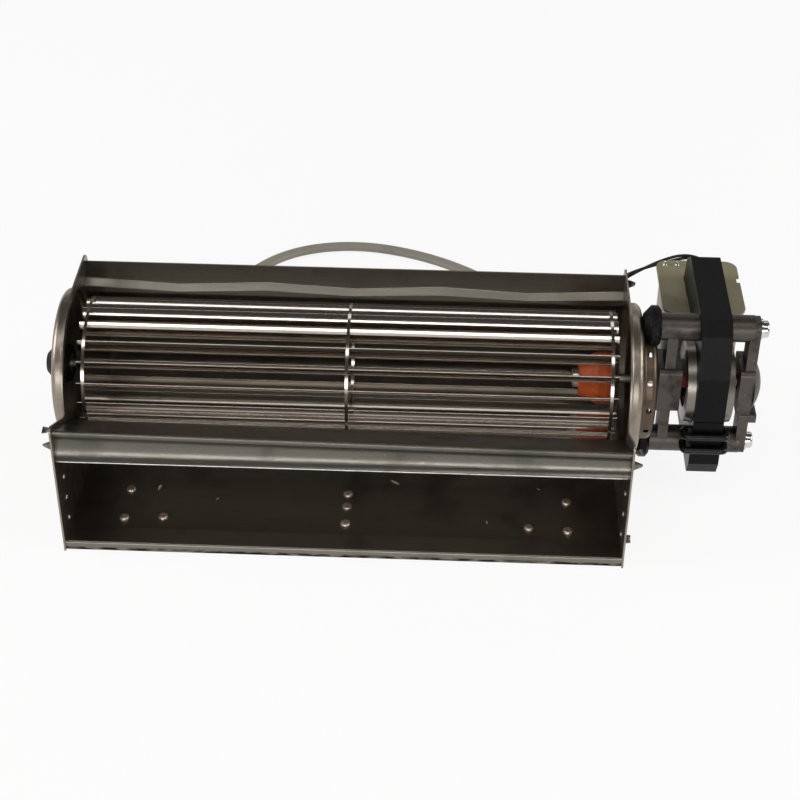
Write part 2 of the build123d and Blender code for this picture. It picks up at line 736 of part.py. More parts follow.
def make_inner_bracket():
    """Die-cast bracket on the wheel side of the motor."""
    arm = RectangleRounded(ARM_WIDTH, 2 * SCREW_OFFSET + 2 * ARM_OVER, 3.0)
    body = slab(Pos(SCREW_Y, 0) * arm, inner_arm_x, inner_arm_x + ARM_THICKNESS)
    body += slab(RectangleRounded(HUB_WIDTH, HUB_HEIGHT, 3.0), inner_hub_x, inner_hub_end)
    body += along_x(BOSS_RADIUS, inner_boss_x, stack_start, SCREW_Y, SCREW_OFFSET)
    body += along_x(BOSS_RADIUS, inner_boss_x, stack_start, SCREW_Y, -SCREW_OFFSET)
    body -= along_x(BALL_BEARING_RADIUS, inner_hub_end - BALL_BEARING_LENGTH - 1.0, inner_hub_end + 1)
    body -= along_x(SHAFT_RADIUS + 1.5, inner_hub_x - 1, inner_hub_end + 1)
    for side in (1, -1):
        body -= along_x(SCREW_RADIUS + SCREW_PLAY, inner_boss_x - 1, stack_start + 1, SCREW_Y, side * SCREW_OFFSET)
    return body


def make_outer_bracket():
    """Die-cast bracket on the outside of the motor."""
    outer_face_x = outer_arm_end
    arm = RectangleRounded(ARM_WIDTH, 2 * SCREW_OFFSET + 2 * ARM_OVER, 3.0)
    body = slab(Pos(SCREW_Y, 0) * arm, outer_arm_x, outer_face_x)
    body += slab(RectangleRounded(HUB_WIDTH, HUB_HEIGHT, 3.0), outer_hub_x, outer_face_x)
    body += slab(Pos(0, -CAP_RADIUS - 2.4) * RectangleRounded(HUB_WIDTH - 3.0, 4.6, 1.0), outer_arm_x, outer_face_x + CAP_OUT - 1.0)
    body += along_x(BOSS_RADIUS, stack_end, outer_arm_x + 2, SCREW_Y, SCREW_OFFSET)
    body += along_x(BOSS_RADIUS, stack_end, outer_arm_x + 2, SCREW_Y, -SCREW_OFFSET)
    body -= along_x(BALL_BEARING_RADIUS, outer_hub_x + 1.0, outer_face_x + 4)
    body -= along_x(SHAFT_RADIUS + 1.5, outer_hub_x - 1, outer_hub_x + 2)
    for side in (1, -1):
        body -= along_x(SCREW_RADIUS + SCREW_PLAY, stack_end - 1, outer_face_x + 1, SCREW_Y, side * SCREW_OFFSET)
    return body


def make_bearings():
    """Sintered bearings of the motor, one in each bracket."""
    bore = SHAFT_RADIUS + RUNNING_GAP
    start = inner_hub_end - BALL_BEARING_LENGTH - 1.0
    inner = tube_x(BALL_BEARING_RADIUS, bore, start, start + BALL_BEARING_LENGTH)
    outer = tube_x(BALL_BEARING_RADIUS, bore, outer_hub_x + 1.0, outer_hub_x + 1.0 + BALL_BEARING_LENGTH)
    return [inner, outer]


def dome_arc(start, radius, rise):
    """Arc from the rim of a dome to its middle on the axis."""
    sphere = (radius ** 2 + rise ** 2) / 2 / rise
    middle = start + rise - sphere
    half = asin(radius / sphere) / 2
    return ThreePointArc(
        (start, radius),
        (middle + sphere * cos(half), sphere * sin(half)),
        (start + rise, 0),
    )


def make_cap():
    """Domed cap over the outer bearing."""
    start = outer_arm_end
    wall = 1.0
    outer = dome_arc(start, CAP_RADIUS, CAP_OUT)
    inner = dome_arc(start, CAP_RADIUS - wall, CAP_OUT - wall)
    joins = [Line(outer @ 0, inner @ 0), Line(outer @ 1, inner @ 1)]
    return revolve(make_face([outer, inner] + joins), Axis.X)


def make_screw(side):
    """Stack screw with its washer face towards the outer bracket."""
    head_start = outer_arm_end + WASHER_THICKNESS
    head = along_x(SCREW_HEAD_RADIUS, head_start, head_start + SCREW_HEAD_HEIGHT)
    head = fillet(head.faces().sort_by(Axis.X)[-1].edges(), 1.2)
    recess = Box(4.0, 4.6, 1.0) + Box(4.0, 1.0, 4.6)
    head -= Pos(head_start + SCREW_HEAD_HEIGHT, 0, 0) * recess
    body = head + along_x(SCREW_RADIUS, carrier_start + 0.6, head_start)
    return Pos(0, SCREW_Y, side * SCREW_OFFSET) * body


def make_washer(side):
    """Plain washer under a stack screw head."""
    start = outer_arm_end
    return tube_x(WASHER_RADIUS, SCREW_RADIUS, start, start + WASHER_THICKNESS, SCREW_Y, side * SCREW_OFFSET)


def bobbin_post():
    """Outline of the bobbin's core tube round the bridge."""
    wall = BOBBIN_PLAY + BOBBIN_WALL
    return Pos(stack_middle, core_y) * Rectangle(STACK_THICKNESS + 2 * wall, CORE_WIDTH + 2 * wall)


def make_bobbin():
    """Coil bobbin round the rear bridge of the stack."""
    flange = Pos(stack_middle, core_y) * RectangleRounded(FLANGE_WIDTH, FLANGE_DEPTH, FLANGE_ROUND)
    notch = Pos(stack_middle + FLANGE_WIDTH / 2, core_y + NOTCH_PLACE) * Rectangle(3.0, 5.0)
    level = LEG_INNER - COIL_PLAY
    play = 2 * BOBBIN_PLAY
    hole = Pos(stack_middle, core_y) * Rectangle(STACK_THICKNESS + play, CORE_WIDTH + play)
    body = Pos(0, 0, -level) * extrude(bobbin_post(), 2 * level)
    body += Pos(0, 0, level - FLANGE_SHEET) * extrude(flange - notch, FLANGE_SHEET)
    body += Pos(0, 0, -level) * extrude(flange, FLANGE_SHEET)
    return body - Pos(0, 0, -level - 1) * extrude(hole, 2 * level + 2)


def make_winding():
    """Taped winding between the bobbin flanges."""
    width = FLANGE_WIDTH - 2 * COIL_INSET
    depth = FLANGE_DEPTH - 2 * COIL_INSET
    outline = Pos(stack_middle, core_y) * RectangleRounded(width, depth, COIL_ROUND)
    level = LEG_INNER - COIL_PLAY - FLANGE_SHEET
    return Pos(0, 0, -level) * extrude(outline - bobbin_post(), 2 * level)


# ================================================================ cable
def corner_radii(points):
    """Largest sensible arc at each inner point of a route."""
    radii = []
    for before, here, after in zip(points, points[1:], points[2:]):
        run_in = Vector(*here) - Vector(*before)
        run_out = Vector(*after) - Vector(*here)
        half_turn = radians(run_in.get_angle(run_out)) / 2
        radii.append(0.45 * min(run_in.length, run_out.length) / tan(half_turn))
    return radii


def make_tube(points, radius):
    """Round tube along a route of straight runs and tangent arcs."""
    radii = corner_radii(points)
    print("arc radii", [round(value, 1) for value in radii])
    path = FilletPolyline(*points, radius=radii)
    tube = sweep(Plane(path @ 0, z_dir=path % 0) * Circle(radius), path=path)
    print("length", round(path.length, 1), "volume ratio", tube.volume / path.length / pi / radius ** 2)
    return tube


def cable_route():
    """Cable from the thin leads to the coil, with its lying part on the surface."""
    last = Vector(*LEAD_ROUTE[-1])
    heading = last - Vector(*LEAD_ROUTE[-2])
    drop = last + heading * 2.0
    landing = (drop.X - 11.0, drop.Y + 17.0, lying_z + 8.0)
    lying = [(x, y, lying_z) for x, y in CABLE_FLOOR_ROUTE]
    end = (COIL_PLACE[0] - coil_middle - CABLE_RADIUS, COIL_PLACE[1] + 5.0, lying_z)
    return [tuple(last), tuple(drop), landing] + lying + [end]


def make_coil():
    """Outer shape of the coiled turns."""
    width = 2 * CABLE_RADIUS * COIL_TURNS_WIDE
    height = 2 * CABLE_RADIUS * COIL_TURNS_HIGH
    rim = Pos(coil_middle, 0) * RectangleRounded(width, height, CABLE_RADIUS * 0.98)
    ring = revolve(Plane.XZ * rim, Axis.Z)
    return Pos(*COIL_PLACE, base_z + height / 2 + 0.1) * ring


def tail_start():
    """Where the tail leaves the coil, and its level."""
    x, y = COIL_PLACE
    return x + 6.0, y - coil_middle - CABLE_RADIUS, lying_z


def make_tail():
    """Free end of the cable beside its coil."""
    x, y, z = tail_start()
    return along_x(CABLE_RADIUS, x, x + TAIL_LENGTH, y, z)


def make_cores():
    """Two insulated cores at the end of the cable, with bare ends."""
    x, y, z = tail_start()
    start = x + TAIL_LENGTH
    cores = []
    for side in (1, -1):
        core = along_x(CORE_RADIUS, start, start + CORE_LENGTH, y + side * 1.3, z)
        bare = along_x(BARE_RADIUS, start + CORE_LENGTH, start + CORE_LENGTH + BARE_LENGTH, y + side * 1.3, z)
        cores.append(core + bare)
    return cores


if __name__ == "__main__":
    os.makedirs("parts", exist_ok=True)
    scroll_slots = scroll_tab_places()
    idle_slots = scroll_slots[1:] + tongue_tab_places(0.0)
    drive_slots = scroll_slots + tongue_tab_places(TONGUE_SKEW)
    foot_rivets = {
        "foot_idle": [(-foot_offset - x, y) for x, y in OUTER_RIVETS],
        "foot_middle": MIDDLE_RIVETS,
        "foot_drive": [(foot_offset + x, y) for x, y in OUTER_RIVETS],
    }
    rivets = [place for places in foot_rivets.values() for place in places]
    holes = [Pos(*place, floor_z) * Cylinder(RIVET_RADIUS + RIVET_CLEARANCE, 6) for place in rivets]
    volute = make_volute()
    for hole in holes:
        volute -= hole

    nodes = {
        "volute_sheet": volute,
        "tongue_sheet": make_tongue(),
        "end_plate_idle": mirror(make_plate(HOLDER_SEAT, idle_slots), Plane.YZ),
        "end_plate_drive": make_plate(CARRIER_EYE, drive_slots),
        "duct_rivets": [make_rivet(place) for place in rivets],
        "foot_idle": make_foot(-foot_offset, FOOT_WIDTH, foot_rivets["foot_idle"]),
        "foot_middle": make_foot(0.0, FOOT_STRIP, foot_rivets["foot_middle"]),
        "foot_drive": make_foot(foot_offset, FOOT_WIDTH, foot_rivets["foot_drive"]),
        "bearing_rubber": make_holder(),
        "bearing_bush": tube_x(BUSH_RADIUS, SHAFT_RADIUS + RUNNING_GAP, -cup_end - HOLDER_OUT + 2.0, -cup_end + SHEET + 1.6),
        "motor_carrier": make_carrier(),
        "rubber_mounts": [make_grommet(1), make_grommet(-1)],
        "bracket_inner": make_inner_bracket(),
        "bracket_outer": make_outer_bracket(),
        "motor_bearings": make_bearings(),
        "bearing_cap": make_cap(),
        "lamination_stack": make_stack(),
        "shading_rings": make_shading_rings(),
        "coil_bobbin": make_bobbin(),
        "coil_winding": make_winding(),
        "stack_screws": [make_screw(1), make_screw(-1)],
        "screw_washers": [make_washer(1), make_washer(-1)],
        "wheel_blades": make_blades(),
        "wheel_disc_idle": make_disc(-disc_x, 0),
        "wheel_disc_middle": make_disc(0.0, MIDDLE_EYE),
        "wheel_disc_drive": make_disc(disc_x, HUB_WAIST),
        "stub_shaft": make_stub(),
        "drive_hub": make_hub(),
        "hub_bush": make_hub_bush(),
        "motor_shaft": along_x(SHAFT_RADIUS, hub_start - 1.0, outer_arm_end + 0.8),
        "rotor_core": make_rotor_core(),
        "rotor_end_rings": make_end_rings(),
        "shaft_spacers": make_spacers(),
        "winding_leads": make_tube(LEAD_ROUTE, LEAD_RADIUS),
        "supply_cable": make_tube(cable_route(), CABLE_RADIUS),
        "cable_coil": make_coil(),
        "cable_tail": make_tail(),
        "cable_cores": make_cores(),
    }
    lift = Pos(0, 0, AXIS_HEIGHT)
    for name, shape in nodes.items():
        pieces = shape if isinstance(shape, list) else [shape]
        solids = [solid for piece in pieces for solid in (lift * piece).solids()]
        export_step(Compound(children=solids), f"parts/{name}.step")
        print(name, len(solids), round(sum(solid.volume for solid in solids), 1))
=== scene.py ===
"""Looks of the cross flow fan: finishes, small surface detail, cable, floor, light and camera.

Lengths in the tables are millimetres, because the sizes of a fan are; they become metres
when geometry or node sockets are made.
"""

import json
import logging
import math
from dataclasses import dataclass, field
from enum import Enum

import bmesh
import bpy
import numpy as np
from mathutils import Matrix, Vector


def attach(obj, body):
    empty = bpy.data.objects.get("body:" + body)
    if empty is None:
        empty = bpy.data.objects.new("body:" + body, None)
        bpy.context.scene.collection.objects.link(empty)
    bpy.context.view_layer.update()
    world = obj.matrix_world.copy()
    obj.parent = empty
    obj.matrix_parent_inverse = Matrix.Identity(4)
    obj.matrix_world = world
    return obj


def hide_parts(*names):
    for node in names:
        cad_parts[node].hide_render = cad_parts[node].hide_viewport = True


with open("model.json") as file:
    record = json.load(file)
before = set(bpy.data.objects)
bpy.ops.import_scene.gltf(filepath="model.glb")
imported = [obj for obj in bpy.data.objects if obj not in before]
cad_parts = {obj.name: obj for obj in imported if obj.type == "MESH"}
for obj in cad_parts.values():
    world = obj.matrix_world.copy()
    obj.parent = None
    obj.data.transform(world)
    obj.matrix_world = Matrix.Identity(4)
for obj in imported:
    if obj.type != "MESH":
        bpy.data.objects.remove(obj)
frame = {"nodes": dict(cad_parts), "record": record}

MM = 0.001
DUST = "b3aa98"
LOG = logging.getLogger("fan")
Points = list[tuple[float, float, float]]


def linear(hex_colour: str) -> tuple[float, float, float, float]:
    """Turns a screen colour into the linear colour that a shader socket takes.

    Args:
        hex_colour: six sRGB hex digits.

    Returns:
        Linear red, green, blue and an alpha of 1.
    """
    channels = [int(hex_colour[i:i + 2], 16) / 255 for i in (0, 2, 4)]
    curve = [c / 12.92 if c <= 0.04045 else ((c + 0.055) / 1.055) ** 2.4 for c in channels]
    return (curve[0], curve[1], curve[2], 1.0)


class Grain(Enum):
    """Kinds of surface texture that a finish can have."""

    PLAIN = "plain"
    CAST = "cast"
    STACKED = "stacked"
    SPANGLED = "spangled"
    WOUND = "wound"


@dataclass(frozen=True)
class Finish:
    """One surface finish, with its dirt and wear.

    Attributes:
        colour: clean colour, sRGB hex.
        stain: colour of the dirt or oxide, sRGB hex.
        metal: 1 for bare metal, 0 otherwise.
        rough: roughness of the clean surface.
        stained_rough: roughness where it is stained.
        amount: share of the surface that is stained, 0 to 1.
        patch: size of the stains in millimetres.
        grain: the fine texture.
        grain_size: its size in millimetres.
        bump: its height in millimetres.
        speckle: share of small dark or bright specks.
        specular: strength of the reflection of what isn't metal.
        darker_below: level in millimetres under which the sheet is mottled darker.
    """

    colour: str
    stain: str
    metal: float = 0.0
    rough: float = 0.5
    stained_rough: float = 0.7
    amount: float = 0.3
    patch: float = 14.0
    grain: Grain = Grain.PLAIN
    grain_size: float = 1.0
    bump: float = 0.02
    speckle: float = 0.0
    specular: float = 0.5
    darker_below: float = 0.0


FINISHES = {
    "zinc_sheet": Finish("76726a", "504d47", 1.0, 0.32, 0.46, 0.35, 30.0, Grain.SPANGLED, 6.0, 0.003, 0.35),
    "wheel_sheet": Finish("bab1a8", "91887f", 1.0, 0.15, 0.22, 0.25, 40.0, Grain.PLAIN, 6.0, 0.0001),
    "steel": Finish("b9b4aa", "77716a", 1.0, 0.28, 0.5, 0.30, 6.0, Grain.PLAIN, 1.0, 0.002, 0.2),
    "carrier_plate": Finish("5e5244", "3c342a", 1.0, 0.42, 0.6, 0.45, 6.0, Grain.PLAIN, 1.0, 0.004, 0.4),
    "die_cast": Finish("58534e", "373431", 1.0, 0.44, 0.62, 0.45, 7.0, Grain.CAST, 0.9, 0.02, 0.4),
    "rubber": Finish("0d0d0e", "1c1b1a", 0.0, 0.5, 0.7, 0.25, 6.0, Grain.PLAIN, 0.6, 0.01, 0.2, 0.12),
    "hub_rubber": Finish("a04416", "6e3213", 0.0, 0.5, 0.7, 0.4, 5.0, Grain.PLAIN, 0.6, 0.01, 0.3, 0.3),
    "bronze": Finish("a07c4a", "5e4a30", 1.0, 0.4, 0.6, 0.4, 4.0, Grain.PLAIN, 0.6, 0.004, 0.2),
    "laminations": Finish("070707", "040404", 0.0, 0.34, 0.5, 0.30, 9.0, Grain.STACKED, 0.5, 0.03, 0.0, 0.12),
    "copper": Finish("0c0b0b", "070606", 0.0, 0.30, 0.5, 0.3, 4.0, Grain.PLAIN, 0.6, 0.004, 0.0, 0.3),
    "cream_plastic": Finish("857d60", "6c654b", 0.0, 0.42, 0.6, 0.3, 14.0, Grain.PLAIN, 0.8, 0.004, 0.15),
    "coil_tape": Finish("857757", "655a44", 0.0, 0.4, 0.55, 0.4, 10.0, Grain.WOUND, 5.5, 0.12, 0.1),
    "screw_zinc": Finish("d2d0cb", "98968f", 1.0, 0.2, 0.4, 0.3, 3.0, Grain.PLAIN, 0.5, 0.002, 0.2),
    "rotor_metal": Finish("7f7971", "504c46", 1.0, 0.32, 0.5, 0.35, 6.0, Grain.CAST, 0.6, 0.01, 0.3),
    "fibre": Finish("8c2416", "5d1f14", 0.0, 0.6, 0.7, 0.3, 3.0, Grain.PLAIN, 0.4, 0.01, 0.1),
    "cable_sheath": Finish("8f8a7d", "78746a", 0.0, 0.45, 0.6, 0.3, 24.0, Grain.PLAIN, 0.8, 0.004, 0.1),
    "lead_sheath": Finish("1f1e1e", "2d2c2a", 0.0, 0.4, 0.55, 0.3, 10.0, Grain.PLAIN, 0.6, 0.004, 0.1, 0.3),
}

# Brighter copy of the zinc sheet for the end plates: painted highlight, for the light that their rims and
# cups catch.
LIT_END_PLATE = Finish("968c80", "625a51", 1.0, 0.36, 0.52, 0.45, 9.0, Grain.SPANGLED, 5.0, 0.005, 0.6)

# Colour of the darker, mottled band low on a sheet.
LOW_DARK = "1c1a18"

# Pieces whose sheet is brighter or duller than the rest of their slot; the brighter end plates and rivets are
# painted highlight.
OWN_FINISHES = {
    "volute_sheet": Finish(
        "7c776e", "524f48", 1.0, 0.32, 0.46, 0.35, 30.0, Grain.SPANGLED, 6.0, 0.003, 0.35, 0.5, 2.6
    ),
    "end_plate_idle": LIT_END_PLATE,
    "end_plate_drive": LIT_END_PLATE,
    # The rivets get a brighter copy of the steel finish: painted highlight, for the flash on their heads.
    "duct_rivets": Finish("e4d2c5", "a8998d", 1.0, 0.45, 0.6, 0.35, 3.0, Grain.PLAIN, 0.6, 0.004, 0.2),
    "tongue_sheet": Finish("6f6c65", "484640", 1.0, 0.30, 0.44, 0.35, 26.0, Grain.SPANGLED, 6.0, 0.003, 0.5),
}


class Shader:
    """Small helper that builds one node material on Object coordinates."""

    def __init__(self, name: str) -> None:
        """Starts an empty material.

        Args:
            name: name of the new material.
        """
        self.material = bpy.data.materials.new(name)
        self.material.use_nodes = True
        self.tree = self.material.node_tree
        self.tree.nodes.clear()
        self.place = self.add("ShaderNodeTexCoord").outputs["Object"]

    def add(self, kind: str, **settings: object) -> bpy.types.Node:
        """Adds a node and sets its properties.

        Args:
            kind: the node's type name.
            settings: properties to set on it.

        Returns:
            The new node.
        """
        node = self.tree.nodes.new(kind)
        for key, value in settings.items():
            setattr(node, key, value)
        return node

    def link(self, source: object, target: object) -> None:
        """Links an output to an input.

        Args:
            source: output socket.
            target: input socket.
        """
        self.tree.links.new(source, target)

    def noise(
        self, size_mm: float, detail: float = 4.0, stretch: tuple = (1, 1, 1), vector: object = None
    ) -> object:
        """Noise whose features are about size_mm across.

        Args:
            size_mm: feature size in millimetres.
            detail: octaves of finer noise.
            stretch: factors on the coordinates, larger for finer along that axis.
            vector: coordinates, or the object's own when left out.

        Returns:
            The factor output.
        """
        scaled = self.add("ShaderNodeMapping")
        scaled.inputs["Scale"].default_value = stretch
        self.link(vector or self.place, scaled.inputs["Vector"])
        node = self.add("ShaderNodeTexNoise")
        node.inputs["Scale"].default_value = 1.0 / (size_mm * MM)
        node.inputs["Detail"].default_value = detail
        self.link(scaled.outputs["Vector"], node.inputs["Vector"])
        return node.outputs["Fac"]

    def ramp(self, value: object, low: float, high: float, start: float = 0.0, end: float = 1.0) -> object:
        """Maps a value to a range and clamps it.

        Args:
            value: output socket to map.
            low: value that becomes start.
            high: value that becomes end.
            start: result at low.
            end: result at high.

        Returns:
            The mapped output.
        """
        node = self.add("ShaderNodeMapRange")
        for name, number in (("From Min", low), ("From Max", high), ("To Min", start), ("To Max", end)):
            node.inputs[name].default_value = number
        self.link(value, node.inputs["Value"])
        return node.outputs["Result"]

    def mix(self, factor: object, first: object, second: object) -> object:
        """Mixes two colours.

        Args:
            factor: output socket of the share of the second.
            first: colour, as a socket or four numbers.
            second: colour, as a socket or four numbers.

        Returns:
            The mixed colour output.
        """
        node = self.add("ShaderNodeMix", data_type="RGBA")
        self.link(factor, node.inputs["Factor"])
        for name, value in (("A", first), ("B", second)):
            socket = [s for s in node.inputs if s.name == name and s.type == "RGBA"][0]
            if isinstance(value, tuple):
                socket.default_value = value
            else:
                self.link(value, socket)
        return [s for s in node.outputs if s.type == "RGBA"][0]

    def math(self, operation: str, first: object, second: object) -> object:
        """Does one sum on two values.

        Args:
            operation: the math node's operation.
            first: output socket.
            second: output socket or number.

        Returns:
            The result output.
        """
        node = self.add("ShaderNodeMath", operation=operation)
        self.link(first, node.inputs[0])
        if isinstance(second, (int, float)):
            node.inputs[1].default_value = second
        else:
            self.link(second, node.inputs[1])
        return node.outputs[0]


def make_finish(name: str, finish: Finish) -> bpy.types.Material:
    """Builds the node material of a finish.

    Args:
        name: name of the material.
        finish: its colours, roughness, dirt and texture.

    Returns:
        The material.
    """
    shader = Shader(name)
    surface = shader.add("ShaderNodeBsdfPrincipled")
    output = shader.add("ShaderNodeOutputMaterial")
    shader.link(surface.outputs["BSDF"], output.inputs["Surface"])
    surface.inputs["Metallic"].default_value = finish.metal
    surface.inputs["Specular IOR Level"].default_value = finish.specular
    cloud = shader.noise(finish.patch, 5.0)
    stained = shader.ramp(cloud, 0.64 - 0.3 * finish.amount, 0.92 - 0.3 * finish.amount)
    colour = shader.mix(stained, linear(finish.colour), linear(finish.stain))
    rough = shader.ramp(stained, 0.0, 1.0, finish.rough, finish.stained_rough)
    if finish.grain is Grain.SPANGLED:
        streaks = shader.noise(0.9, 3.0, (0.02, 1, 1))
        colour = shader.mix(shader.ramp(streaks, 0.35, 0.75, 0.0, 0.16), colour, linear(finish.stain))
        rough = shader.math("ADD", rough, shader.ramp(streaks, 0.3, 0.7, -0.03, 0.04))
    if finish.speckle > 0:
        specks = shader.noise(0.5, 2.0)
        share = shader.ramp(specks, 0.70 - 0.06 * finish.speckle, 0.76, 0.0, finish.speckle)
        colour = shader.mix(share, colour, linear(finish.stain))
        dust = shader.noise(0.7, 1.0, (1.3, 1, 0.8))
        colour = shader.mix(shader.ramp(dust, 0.71, 0.75, 0.0, finish.speckle), colour, linear(DUST))
    # Darker, mottled band below a given level of the sheet.
    if finish.darker_below > 0:
        split = shader.add("ShaderNodeSeparateXYZ")
        shader.link(shader.place, split.inputs["Vector"])
        low = shader.ramp(split.outputs["Z"], finish.darker_below * MM, (finish.darker_below - 0.9) * MM)
        mottle = shader.ramp(shader.noise(1.8, 4.0, (0.25, 1, 1)), 0.38, 0.56)
        colour = shader.mix(shader.math("MULTIPLY", low, mottle), colour, linear(LOW_DARK))
    shader.link(colour, surface.inputs["Base Color"])
    shader.link(rough, surface.inputs["Roughness"])
    height = grain_height(shader, finish)
    bump = shader.add("ShaderNodeBump")
    bump.inputs["Strength"].default_value = 1.0
    bump.inputs["Distance"].default_value = finish.bump * MM
    shader.link(height, bump.inputs["Height"])
    shader.link(bump.outputs["Normal"], surface.inputs["Normal"])
    return shader.material


def grain_height(shader: Shader, finish: Finish) -> object:
    """Height pattern of a finish's fine texture.

    Args:
        shader: the material being built.
        finish: the finish.

    Returns:
        Output socket of the height, 0 to 1.
    """
    if finish.grain is Grain.STACKED:
        node = shader.add("ShaderNodeTexWave", wave_type="BANDS", bands_direction="X")
        node.inputs["Scale"].default_value = 0.314 / (finish.grain_size * MM)
        node.inputs["Distortion"].default_value = 0.3
        shader.link(shader.place, node.inputs["Vector"])
        return node.outputs["Fac"]
    if finish.grain is Grain.WOUND:
        node = shader.add("ShaderNodeTexWave", wave_type="BANDS", bands_direction="Z", wave_profile="SAW")
        node.inputs["Scale"].default_value = 0.314 / (finish.grain_size * MM)
        shader.link(shader.place, node.inputs["Vector"])
        return node.outputs["Fac"]
    if finish.grain is Grain.SPANGLED:
        node = shader.add("ShaderNodeTexVoronoi", feature="F1")
        node.inputs["Scale"].default_value = 1.0 / (finish.grain_size * MM)
        shader.link(shader.place, node.inputs["Vector"])
        return shader.ramp(node.outputs["Distance"], 0.0, 1.0)
    return shader.noise(finish.grain_size, 3.0)


def spline(points: np.ndarray, steps: int = 12) -> np.ndarray:
    """Points on a quadratic spline that starts and ends on its first and last points.

    Args:
        points: control points.
        steps: samples on each span.

    Returns:
        Points along the spline.
    """
    joins = np.concatenate([points[:1], (points[1:-2] + points[2:-1]) / 2, points[-1:]])
    share = np.linspace(0, 1, steps, endpoint=False)[None, :, None]
    start, middle, end = joins[:-1, None], points[1:-1, None], joins[1:, None]
    curve = (1 - share) ** 2 * start + 2 * share * (1 - share) * middle + share ** 2 * end
    return np.concatenate([curve.reshape(-1, 3), points[-1:]])


def sweep(
    name: str, line: np.ndarray, profile: np.ndarray, twist: np.ndarray, grow: np.ndarray
) -> bpy.types.Object:
    """Sweeps a closed profile along a line that is nowhere upright, with its second axis kept upright.

    Args:
        name: name of the object.
        line: points of the centreline.
        profile: rows of across, up, in metres.
        twist: roll of the profile at each point, in radians.
        grow: size factor at each point.

    Returns:
        The swept mesh object, closed at both ends.
    """
    along = np.gradient(line, axis=0)
    along /= np.linalg.norm(along, axis=1, keepdims=True)
    side = np.cross(along, [0.0, 0.0, 1.0])
    side /= np.maximum(np.linalg.norm(side, axis=1, keepdims=True), 1e-9)
    upright = np.cross(side, along)
    cos, sin = np.cos(twist)[:, None], np.sin(twist)[:, None]
    across, rise = cos * side + sin * upright, cos * upright - sin * side
    rings = line[:, None] + grow[:, None, None] * (
        profile[None, :, :1] * across[:, None] + profile[None, :, 1:] * rise[:, None]
    )
    made = grid_object(name, rings, closed=True)
    cap_ends(made, profile.shape[0], line.shape[0])
    return made


def cap_ends(made: bpy.types.Object, columns: int, rows: int) -> None:
    """Closes the two ends of a swept tube.

    Args:
        made: the swept object.
        columns: points in its profile.
        rows: points along its line.
    """
    mesh = bmesh.new()
    mesh.from_mesh(made.data)
    mesh.verts.ensure_lookup_table()
    mesh.faces.new(mesh.verts[0:columns])
    mesh.faces.new(mesh.verts[(rows - 1) * columns:rows * columns])
    bmesh.ops.recalc_face_normals(mesh, faces=mesh.faces)
    mesh.to_mesh(made.data)
    mesh.free()


@dataclass
class Cable:
    """The grey twin lead: over the floor, into a coil behind the fan, to its bare cores."""

    finish: bpy.types.Material
    diameter: float = 5.5
    width: float = 6.4
    thickness: float = 4.3
    coil_place: tuple[float, float] = (-48.0, 100.0)
    coil_radius: float = 30.25
    lying: float = 2.85
    turns: float = 3.25
    route: Points = field(
        default_factory=lambda: [
            (114.0, 74.0, 52.1),
            (91.0, 73.0, 31.1),
            (80.0, 90.0, 10.85),
            (83.0, 112.0, 2.85),
            (82.0, 144.0, 2.85),
            (61.0, 169.0, 2.85),
            (27.0, 190.5, 2.85),
            (-11.0, 199.6, 2.85),
            (-46.0, 190.0, 2.85),
            (-69.0, 163.0, 2.85),
            (-79.0, 133.0, 2.85),
        ]
    )
    tail: Points = field(
        default_factory=lambda: [(-42.0, 67.0, 2.85), (-20.0, 67.0, 2.85), (-8.0, 67.0, 2.85)]
    )

    def coil_points(self) -> np.ndarray:
        """Points of the coiled turns, in millimetres, each turn beside or on the last."""
        count = int(self.turns * 14) + 1
        share = np.linspace(0.0, self.turns, count)
        angle = math.pi + 2 * math.pi * share
        level = np.floor(share / 2 + 1e-6)
        step = np.clip((share / 2 - level) * 2 - 0.8, 0, 0.2) * 5
        outer = np.where(level % 2 == 0, 1 - step, step)
        radius = self.coil_radius + self.diameter * (outer - 0.5)
        height = self.lying + self.diameter * np.clip(share - 1.4, 0, 0.6) / 0.6
        x = self.coil_place[0] + radius * np.cos(angle)
        y = self.coil_place[1] + radius * np.sin(angle)
        return np.stack([x, y, height], axis=1)

    def build(self) -> None:
        points = np.concatenate([np.array(self.route), self.coil_points(), np.array(self.tail)])
        line = spline(points * MM)
        angle = np.linspace(0, 2 * math.pi, 28, endpoint=False)
        flat = (np.abs(np.cos(angle)) ** 0.8 * np.sign(np.cos(angle)), np.sin(angle))
        profile = np.stack([flat[0] * self.width / 2, flat[1] * self.thickness / 2], axis=1) * MM
        made = sweep("cable_sheath", line, profile, np.zeros(len(line)), np.ones(len(line)))
        made.data.materials.append(self.finish)
        # The grey lead rides on the housing, as its CAD solids do.
        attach(made, "housing")
        # It takes the place of the three CAD stretches of the cable.
        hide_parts("supply_cable", "cable_coil", "cable_tail")


